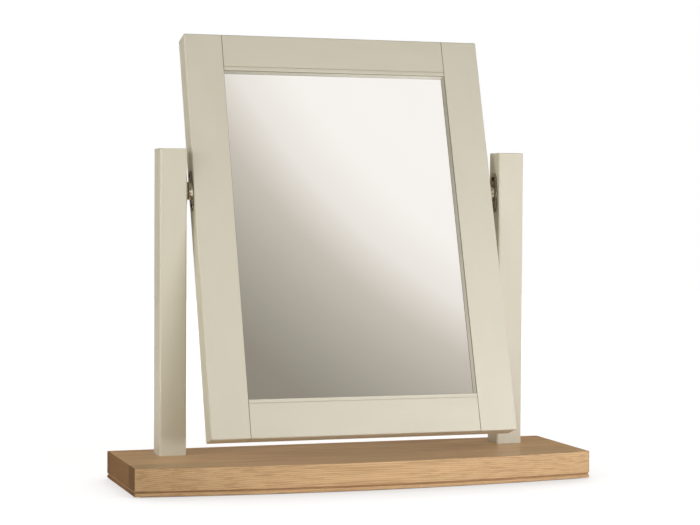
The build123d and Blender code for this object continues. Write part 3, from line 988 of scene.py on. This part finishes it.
@dataclass
class HungFrame:
    """The painted frame, glazed and backed, which hangs tilted between the posts."""

    pivot: Vector
    tilt: float = math.radians(17)
    half_width: float = 209 * MM
    half_thickness: float = 15 * MM
    up: float = 215 * MM
    down: float = 333 * MM
    stile_width: float = 52 * MM
    rail_width: float = 51 * MM
    pine_cut: Triple = (0.1, 0.06, 0.04)

    def datum(self, way: Way, offset: Triple = ORIGIN) -> Datum:
        """Give a datum for a piece of the tilted frame."""
        return Datum(tuple(self.pivot), self.tilt, way, offset)

    def dress_frame(self) -> None:
        """Paint the stiles and the rails, each with its strokes along its length and its own run of painted light
        along the opening's side.
        """
        outer, inner = self.half_width, self.half_width - self.stile_width
        bottom, low, high, top = -self.down, self.rail_width - self.down, self.up - self.rail_width, self.up
        pieces = (
            ("stile_left", (-outer, -inner), (bottom, top), Way.UP, (0.0, -0.11, 0.2), (1.0, 0.0)),
            ("stile_right", (inner, outer), (bottom, top), Way.UP, (0.0, 0.11, 0.2), (1.0, 0.0)),
            ("rail_top", (-inner, inner), (high, top), Way.ACROSS, (0.3, 0.2, high), (0.0, 1.0)),
            ("rail_bottom", (-inner, inner), (bottom, low), Way.ACROSS, (0.3, 0.2, bottom), (0.6, 1.0)),
        )
        for name, across, up, way, cut, reveal_light_run in pieces:
            middle = (sum(across) / 2, 0.0, sum(up) / 2)
            half_size = ((across[1] - across[0]) / 2, self.half_thickness, (up[1] - up[0]) / 2)
            datum = self.datum(way, cut)
            dress(name, PaintFinish(f"paint_{name}", datum, middle, half_size, inner, (low, high), reveal_light_run))

    def dress_glazing(self) -> None:
        """Dress the glass, the strips behind it and the screwed back board."""
        dress("mirror_glass", MirrorFinish("silvered_glass"))
        for place in ("left", "right", "top", "bottom"):
            way = Way.UP if place in ("left", "right") else Way.ACROSS
            dress(f"retaining_strip_{place}", SoftwoodFinish(f"pine_{place}", self.datum(way, self.pine_cut)))
        dress("back_board", BoardFinish("painted_board", self.datum(Way.ACROSS)))
        dress("back_board_screws", MetalFinish("bronzed_board_screws", Metal.BRONZED_BOARD_SCREW))

    def build(self) -> None:
        """Dress the whole hung frame."""
        self.dress_frame()
        self.dress_glazing()


@dataclass
class Swivels:
    """The two friction swivels, in antiqued brass with bronzed screws."""

    @staticmethod
    def seat(node: str) -> float:
        """Give how far from the middle of the object the wood lies that a plate is screwed to."""
        reach = sorted(abs(corner.x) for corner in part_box(node))
        return reach[1] if "post" in node else reach[0]

    def build(self) -> None:
        """Dress every piece of both swivels."""
        for side in Side:
            name = side.name.lower()
            for piece in ("frame_plate", "post_plate"):
                node = f"swivel_{piece}_{name}"
                dress(node, MetalFinish(f"antique_brass_{piece}_{name}", Metal.ANTIQUE_BRASS, self.seat(node)))
            for piece in ("frame_screws", "post_screws"):
                dress(f"swivel_{piece}_{name}", MetalFinish(f"bronzed_{piece}_{name}", Metal.BRONZED_SCREW))
            dress(f"swivel_pin_{name}", MetalFinish(f"antique_brass_pin_{name}", Metal.ANTIQUE_BRASS))
            dress(f"swivel_spring_washer_{name}", MetalFinish(f"spring_steel_{name}", Metal.SPRING_STEEL))
            dress(f"swivel_friction_washer_{name}", FeltFinish(f"fibre_{name}", Pressed.WASHER_FIBRE))


@dataclass(frozen=True)
class Lamp:
    """A soft rectangular lamp, placed by the direction that it shines from, in degrees from the front to the right."""

    name: str
    turn: float
    lift: float
    distance: float
    size: Span
    power: float
    colour: Triple = (1.0, 1.0, 1.0)

    def hang(self, aim: Vector) -> None:
        """Hang the lamp and point it.

        Args:
            aim: The point that it shines at.
        """
        light = bpy.data.lights.new(self.name, "AREA")
        light.shape = "RECTANGLE"
        light.size, light.size_y = self.size
        light.energy = self.power
        light.color = self.colour
        lamp = bpy.data.objects.new(self.name, light)
        turn, lift = math.radians(self.turn), math.radians(self.lift)
        away = Vector((math.sin(turn) * math.cos(lift), -math.cos(turn) * math.cos(lift), math.sin(lift)))
        facing = (-away).to_track_quat("-Z", "Y").to_matrix().to_4x4()
        lamp.matrix_world = Matrix.Translation(aim + self.distance * away) @ facing
        lamp.visible_glossy = lamp.visible_camera = False
        bpy.context.scene.collection.objects.link(lamp)


@dataclass
class Viewpoint:
    """The camera, where the photograph was taken from, and colours shown as they are."""

    place: Triple = (-0.7924, -2.3921, 0.3723)
    yaw: float = math.radians(18.215)
    pitch: float = math.radians(1.889)
    roll: float = math.radians(0.335)
    lens_mm: float = 98.03
    sensor_mm: float = 36.0

    def build(self) -> None:
        """Place the camera."""
        bpy.context.scene.view_settings.view_transform = "Standard"
        yaw, pitch, roll = self.yaw, self.pitch, self.roll
        ahead = Vector((math.sin(yaw) * math.cos(pitch), math.cos(yaw) * math.cos(pitch), -math.sin(pitch)))
        level = Vector((math.cos(yaw), -math.sin(yaw), 0.0))
        above = level.cross(ahead)
        right = math.cos(roll) * level + math.sin(roll) * above
        up = math.cos(roll) * above - math.sin(roll) * level
        lens = bpy.data.cameras.new("camera")
        lens.lens = self.lens_mm
        lens.sensor_width = self.sensor_mm
        camera = bpy.data.objects.new("camera", lens)
        turn = Matrix((right, up, -ahead)).transposed().to_4x4()
        camera.matrix_world = Matrix.Translation(self.place) @ turn
        bpy.context.scene.collection.objects.link(camera)
        bpy.context.scene.camera = camera


@dataclass
class WhiteFloor:
    """The plain white floor, which glows white to the camera but for the object's soft shadow."""

    size: float = 9.0
    lit_colour: Rgba = (0.90, 0.87, 0.82, 1.0)
    shadow_colour: Rgba = (0.775, 0.765, 0.755, 1.0)
    glow: float = 1.17
    closed_in_reach: float = 0.16
    shadow_span: Span = (0.66, 0.975)
    beyond_end_x: Span = (0.27, 0.33)
    beyond_end_span: Span = (0.52, 0.72)
    beyond_end_light: float = 0.75
    fade_reach: Span = (0.45, 1.1)
    fade: Span = (0.75, 1.0)
    mirrored_y: Span = (-0.6, 0.3)
    mirrored: Span = (0.72, 0.13)

    def build(self) -> None:
        """Lay the floor. What the glass reflects of it dims towards the back."""
        bpy.ops.object.select_all(action="DESELECT")
        bpy.ops.mesh.primitive_plane_add(size=self.size)
        floor = bpy.context.active_object
        floor.name = "studio_floor"
        material = bpy.data.materials.new("floor_white")
        material.use_nodes = True
        w = Wiring(material.node_tree)
        lit = w.node("BsdfDiffuse", {"Color": self.lit_colour})
        openness = w.node("AmbientOcclusion", {"Distance": self.closed_in_reach}, samples=12).outputs["AO"]
        place = w.place()
        parts = w.parts(place)
        beyond_end = w.ramp(w.away(parts["X"]), *self.beyond_end_x, 0.0, self.beyond_end_light)
        beyond_end = w.times(beyond_end, w.ramp(openness, *self.beyond_end_span))
        lightness = w.maths("MAXIMUM", w.ramp(openness, *self.shadow_span), beyond_end)
        shown = w.blend(lightness, self.shadow_colour, WHITE)
        glow = w.node("Emission", {"Color": shown, "Strength": self.glow})
        rays = w.node("LightPath").outputs
        faded = w.ramp(w.vector("LENGTH", place, output="Value"), *self.fade_reach, *self.fade)
        seen = w.times(rays["Is Camera Ray"], faded)
        mirrored = w.ramp(parts["Y"], *self.mirrored_y, *self.mirrored)
        share = w.linear(rays["Is Glossy Ray"], mirrored, seen)
        mixed = w.node("MixShader", {0: share, 1: lit.outputs[0], 2: glow.outputs[0]})
        w.node("OutputMaterial", {"Surface": mixed.outputs[0]})
        floor.data.materials.append(material)


@dataclass
class Room:
    """What surrounds it all: plain white to the camera, and a dim room to the glass and the metal.

    The room has one large soft window, to the upper right of the front, and is white low down all round.
    """

    window_way: Triple = (0.504, -0.569, 0.650)
    window_span: Span = (0.9107, 0.9637)
    window_levels: tuple[float, ...] = (0.0, 0.03, 0.14, 0.275, 0.45, 0.83, 0.985, 1.0)
    window_colour: Rgba = (0.970, 0.931, 0.899, 1.0)
    window_edge_colour: Rgba = (1.0, 0.975, 0.935, 1.0)
    wall_colour: Rgba = (0.275, 0.250, 0.203, 1.0)
    low_front_colour: Rgba = (0.85, 0.84, 0.81, 1.0)
    low_back_colour: Rgba = (0.15, 0.135, 0.115, 1.0)
    low_y: Span = (-0.45, 0.35)
    low_z: Span = (0.12, 0.34)
    soft_colour: Rgba = (1.0, 0.88, 0.72, 1.0)
    soft_strength: float = 0.10

    def build(self) -> None:
        """Put the room round the object."""
        world = bpy.data.worlds.new("studio")
        bpy.context.scene.world = world
        world.use_nodes = True
        w = Wiring(world.node_tree)
        rays = w.node("LightPath").outputs
        ray = w.vector("NORMALIZE", w.node("TexCoord").outputs["Generated"])
        towards = w.vector("DOT_PRODUCT", ray, self.window_way, output="Value")
        window = w.curve(towards, *self.window_span, self.window_levels)
        room = w.blend(window, self.wall_colour, self.window_colour)
        edge = w.times(w.times(window, w.maths("SUBTRACT", 1.0, window)), 4.0)  # 1 where the window is half lit
        room = w.blend(edge, room, self.window_edge_colour, "MULTIPLY")
        parts = w.parts(ray)
        low = w.blend(w.ramp(parts["Y"], *self.low_y), self.low_front_colour, self.low_back_colour)
        room = w.blend(w.ramp(parts["Z"], *self.low_z, 1.0, 0.0), room, low)
        reflected = w.node("Background", {"Color": room})
        soft = w.node("Background", {"Color": self.soft_colour, "Strength": self.soft_strength})
        white = w.node("Background", {"Color": WHITE})
        mirrored = w.times(rays["Is Glossy Ray"], w.maths("LESS_THAN", rays["Diffuse Depth"], 0.5))
        lit = w.node("MixShader", {0: mirrored, 1: soft.outputs[0], 2: reflected.outputs[0]})
        shown = w.node("MixShader", {0: rays["Is Camera Ray"], 1: lit.outputs[0], 2: white.outputs[0]})
        w.node("OutputWorld", {"Surface": shown.outputs[0]})


@dataclass
class Lamps:
    """The studio's lamps, which all point at the mirror."""

    aim: Triple = (0.0, 0.0, 0.25)
    lamps: tuple[Lamp, ...] = (
        Lamp("side_left", -60, 12, 1.8, (1.2, 1.0), 4.0),
        Lamp("side_right", 110, 10, 1.5, (0.9, 0.7), 6.9),
        Lamp("key_low", 38, -5, 1.15, (0.7, 0.3), 1.2, colour=(0.97, 0.99, 1.1)),
        Lamp("front_above", 0, 35, 2.0, (1.4, 1.0), 6.3),
        Lamp("near_high_right", 29, 32.3, 1.22, (0.8, 0.6), 2.5),
        Lamp("near_high_left", -33.7, 31, 1.26, (0.8, 0.6), 0.9),
        Lamp("near_left", -84.8, 17.6, 1.16, (0.9, 0.9), 5.0),
        Lamp("near_low", 24, -8.9, 0.84, (0.5, 0.2), 2.4, colour=(0.95, 0.98, 1.12)),
        Lamp("top_soft", 0, 88, 2.0, (1.8, 1.8), 0.9),
        Lamp("back_above", 160, 30, 2.0, (1.4, 1.2), 5.0),
        Lamp("back_low", 178, 3, 1.7, (1.4, 0.9), 9.0),
    )

    def build(self) -> None:
        """Hang the lamps."""
        for lamp in self.lamps:
            lamp.hang(Vector(self.aim))
            log.info("lamp: %s", lamp.name)


def main() -> None:
    """Build the object's parts in order, then the studio round it."""
    logging.basicConfig(level=logging.INFO, format="%(name)s: %(message)s")
    pivot = Vector(frame["joints"][0]["pos_m"])
    mirror = (BaseBoard(), Posts(), HungFrame(pivot), Swivels())
    studio = (Viewpoint(), WhiteFloor(), Room(), Lamps())
    for part in (*mirror, *studio):
        part.build()
        log.info("%s is done", type(part).__name__)


if __name__ == "__main__":
    main()
